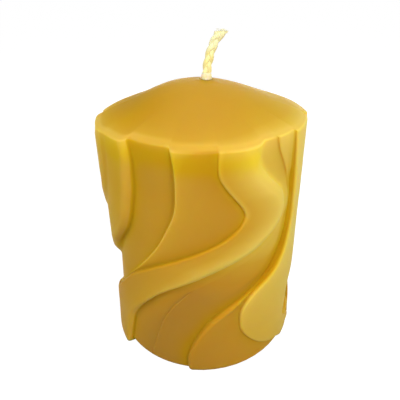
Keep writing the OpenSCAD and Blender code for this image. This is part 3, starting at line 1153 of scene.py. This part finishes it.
# %% Tubes
def add_tube(bm, ring_n, side_n, place):
    """A straight tube, bent to shape: place(i, a) puts ring i's point at an angle a round it."""
    old = set(bm.verts)
    circle = bmesh.ops.create_circle(bm, segments=side_n, radius=1.0)["verts"]
    edges = [edge for edge in bm.edges if edge.verts[0] not in old]
    bmesh.ops.contextual_create(bm, geom=edges)
    bmesh.ops.spin(
        bm, geom=circle + edges, cent=(0.0, 0.0, 0.0), axis=(0.0, 0.0, 1.0), dvec=(0.0, 0.0, 1.0),
        angle=0.0, steps=ring_n - 1)
    fresh = [vert for vert in bm.verts if vert not in old]
    open_end = [edge for edge in bm.edges if edge.is_boundary and edge.verts[0] not in old]
    bmesh.ops.contextual_create(bm, geom=open_end)
    for vert in fresh:
        vert.co = place(round(vert.co.z), math.atan2(vert.co.y, vert.co.x))


def across(ahead, a):
    """A direction square to ahead, turned by the angle a."""
    side = ahead.cross(Vector((0.0, 1.0, 0.0))).normalized()
    return side * math.cos(a) + ahead.cross(side) * math.sin(a)


print("square to straight up:", across(Vector((0.0, 0.0, 1.0)), 0.0)[:])

# %% Plait the strands and cut them
STRAND_R = 0.82 * MM
STRAND_STEP = 0.20 * MM
STRAND_SIDES = 24
YARN_N = 5
YARN_DEPTH = 0.04
YARN_TWIST = 2.0 * math.pi / (4.2 * MM)
WICK_SUNK = 3.0 * MM
WICK_EXTRA = 2.5 * MM
WICK_CUT_Z = 105.4 * MM


def add_strand(bm, k):
    """One strand of the plait, swollen by its yarns."""

    def place(i, a):
        s = i * STRAND_STEP - WICK_SUNK
        middle = strand_middle(k, s)
        ahead = (strand_middle(k, s + STRAND_STEP) - middle).normalized()
        r = STRAND_R * (1.0 + YARN_DEPTH * math.cos(YARN_N * a + YARN_TWIST * s))
        return middle + across(ahead, a) * r

    add_tube(bm, round((WICK_SUNK + WICK_FREE + WICK_EXTRA) / STRAND_STEP), STRAND_SIDES, place)


wick_bm = bmesh.new()
for strand in range(STRAND_N):
    add_strand(wick_bm, strand)
bmesh.ops.bisect_plane(
    wick_bm, geom=wick_bm.verts[:] + wick_bm.edges[:] + wick_bm.faces[:],
    plane_co=(0.0, 0.0, WICK_CUT_Z), plane_no=(0.0, 0.0, 1.0), clear_outer=True)
cut_edges = [e for e in wick_bm.edges if e.is_boundary]
bmesh.ops.holes_fill(wick_bm, edges=cut_edges, sides=0)
bmesh.ops.recalc_face_normals(wick_bm, faces=wick_bm.faces[:])
print("plaited", STRAND_N, "strands, cut through", len(cut_edges), "edges")

# %% [markdown]
# ### Fibres at the cut
# Where scissors went through the cotton, single fibres stand out of the cut. Hair particles could
# make them, but a mesh stays with the candle when it is exported, so each is a thin tube that starts
# inside a strand and bends outwards. A seeded random generator places them, so that they come out
# the same every time.

# %% Fibres
FIBRE_N = 60
FIBRE_R = 0.035 * MM
FIBRE_TAPER = 0.6
FIBRE_SUNK = 0.8 * MM
FIBRE_OUT = 0.7 * MM
FIBRE_TIP = WICK_FREE + 0.4 * MM
FIBRE_TOP = 106.1 * MM
FIBRE_RINGS = 6
FIBRE_SIDES = 5
# Shares between which a fibre's place in its strand, its bend and its length are drawn
FIBRE_SPREAD = (0.1, 0.9)
FIBRE_BEND = (0.1, 0.5)
FIBRE_LENGTH = (0.3, 1.0)

dice = random.Random(11)


def add_fibre(bm, k):
    start = strand_middle(k, FIBRE_TIP - FIBRE_SUNK)
    ahead = (strand_middle(k, FIBRE_TIP) - start).normalized()
    turn = dice.uniform(0.0, 2.0 * math.pi)
    start = start + across(ahead, turn) * STRAND_R * math.sqrt(dice.uniform(*FIBRE_SPREAD))
    bend = across(ahead, turn) * dice.uniform(*FIBRE_BEND)
    length = FIBRE_SUNK + FIBRE_OUT * dice.uniform(*FIBRE_LENGTH)

    def place(i, a):
        t = i / (FIBRE_RINGS - 1)
        p = start + ahead * length * t + bend * length * t * t
        p += across(ahead, a) * FIBRE_R * (1.0 - FIBRE_TAPER * t)
        p.z = min(p.z, FIBRE_TOP)
        return p

    add_tube(bm, FIBRE_RINGS, FIBRE_SIDES, place)


fibre_bm = bmesh.new()
for i in range(FIBRE_N):
    add_fibre(fibre_bm, i % STRAND_N)
bmesh.ops.recalc_face_normals(fibre_bm, faces=fibre_bm.faces[:])
print("made", FIBRE_N, "fibres")

# %% [markdown]
# ### Primed cotton
# The yarn has drunk wax, so it is cream, warmer low down where more wax clings and paler towards
# the cut. Subsurface scattering at the scale of the yarn keeps the plait soft. A fine noise
# stretched along the wick gives it the grain of its fibres.

# %% Cotton material
COTTON_STOPS = [
    (0.0, (0.96, 0.86, 0.47)), (0.45, (0.98, 0.87, 0.35)), (0.75, (0.97, 0.92, 0.52)),
    (1.0, (0.94, 0.89, 0.50))]
SPECKLE_STOPS = [(0.35, (0.80, 0.72, 0.55)), (0.6, (1.0, 1.0, 1.0))]
SPECKLE_SCALE = 420.0
YARN_SCALE = 4000.0
YARN_STRETCH = (1.0, 1.0, 0.25)


def make_cotton():
    material, tree, shader = new_material("primed_cotton")
    place = add_node(tree, "ShaderNodeTexCoord").outputs["Object"]
    height = add_node(tree, "ShaderNodeSeparateXYZ")
    tree.links.new(place, height.inputs["Vector"])
    share = range_node(tree, height.outputs["Z"], {"From Min": WICK_Z, "From Max": WICK_CUT_Z})
    speckle = ramp_node(tree, noise_node(tree, place, SPECKLE_SCALE, 3.0), SPECKLE_STOPS)
    shade = multiply_node(tree)
    shade.inputs["Factor"].default_value = 0.2
    tree.links.new(ramp_node(tree, share, COTTON_STOPS), shade.inputs["A"])
    tree.links.new(speckle, shade.inputs["B"])
    tree.links.new(shade.outputs["Result"], shader.inputs["Base Color"])
    set_sockets(shader, {
        "Roughness": 0.6, "Subsurface Weight": 0.25, "Subsurface Radius": (1.0, 0.8, 0.4),
        "Subsurface Scale": 0.3 * MM})
    stretch = add_node(tree, "ShaderNodeMapping")
    stretch.inputs["Scale"].default_value = YARN_STRETCH
    tree.links.new(place, stretch.inputs["Vector"])
    grain = noise_node(tree, stretch.outputs["Vector"], YARN_SCALE, 3.0)
    add_bump(tree, shader, grain, 0.3, 0.05 * MM)
    return material


cotton = make_cotton()
wick = finish_mesh(wick_bm, "wick_plait", cotton)
fibres = finish_mesh(fibre_bm, "wick_fibres", cotton)
for piece in (wick, fibres):
    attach(piece, "root")
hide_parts("wick")

# %% [markdown]
# ### Coat at the foot of the wick
# Dipping left a thicker coat of pale wax round the foot of the wick. Its colour ends sharply, so it
# is a piece of its own and not a tint of the skin: a short sleeve, turned from its outline with spin
# and then pushed about by noise, because it set as it ran.

# %% Shape of the coat
# Distance from the wick's middle and height above the crown, in millimetres
COAT_OUTLINE = [
    (1.00, -0.6), (1.66, -0.4), (1.69, 0.3), (1.68, 0.9), (1.62, 1.4), (1.52, 1.8), (1.34, 2.05),
    (1.05, 2.15)]
COAT_SIDES = 48
COAT_ROUGH = 0.10 * MM
COAT_SCALE = 700.0


def make_coat():
    bm = bmesh.new()
    outline = [bm.verts.new((WICK_OFF + r * MM, 0.0, WICK_Z + z * MM)) for r, z in COAT_OUTLINE]
    edges = [bm.edges.new(pair) for pair in zip(outline, outline[1:])]
    edges.append(bm.edges.new((outline[-1], outline[0])))
    bmesh.ops.spin(
        bm, geom=outline + edges, cent=(WICK_OFF, 0.0, 0.0), axis=(0.0, 0.0, 1.0),
        angle=2.0 * math.pi, steps=COAT_SIDES, use_merge=True)
    bmesh.ops.recalc_face_normals(bm, faces=bm.faces[:])
    bm.normal_update()
    for vert in bm.verts:
        vert.co -= vert.normal * COAT_ROUGH * (0.5 + noise.noise(vert.co * COAT_SCALE))
    return bm


coat_bm = make_coat()
print("turned a coat of", len(coat_bm.faces), "faces")

# %% Pale wax
COAT_STOPS = [(0.3, (0.92, 0.74, 0.42)), (0.7, (0.94, 0.82, 0.55))]
COAT_CLOUD_SCALE = 500.0


def make_coat_wax():
    material, tree, shader = new_material("pale_wax")
    place = add_node(tree, "ShaderNodeTexCoord").outputs["Object"]
    cloud = noise_node(tree, place, COAT_CLOUD_SCALE, 3.0)
    tree.links.new(ramp_node(tree, cloud, COAT_STOPS), shader.inputs["Base Color"])
    set_sockets(shader, {
        "Roughness": 0.45, "Subsurface Weight": 0.7, "Subsurface Radius": (1.0, 0.7, 0.3),
        "Subsurface Scale": 0.8 * MM})
    return material


coat = finish_mesh(coat_bm, "wick_coat", make_coat_wax())
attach(coat, "root")
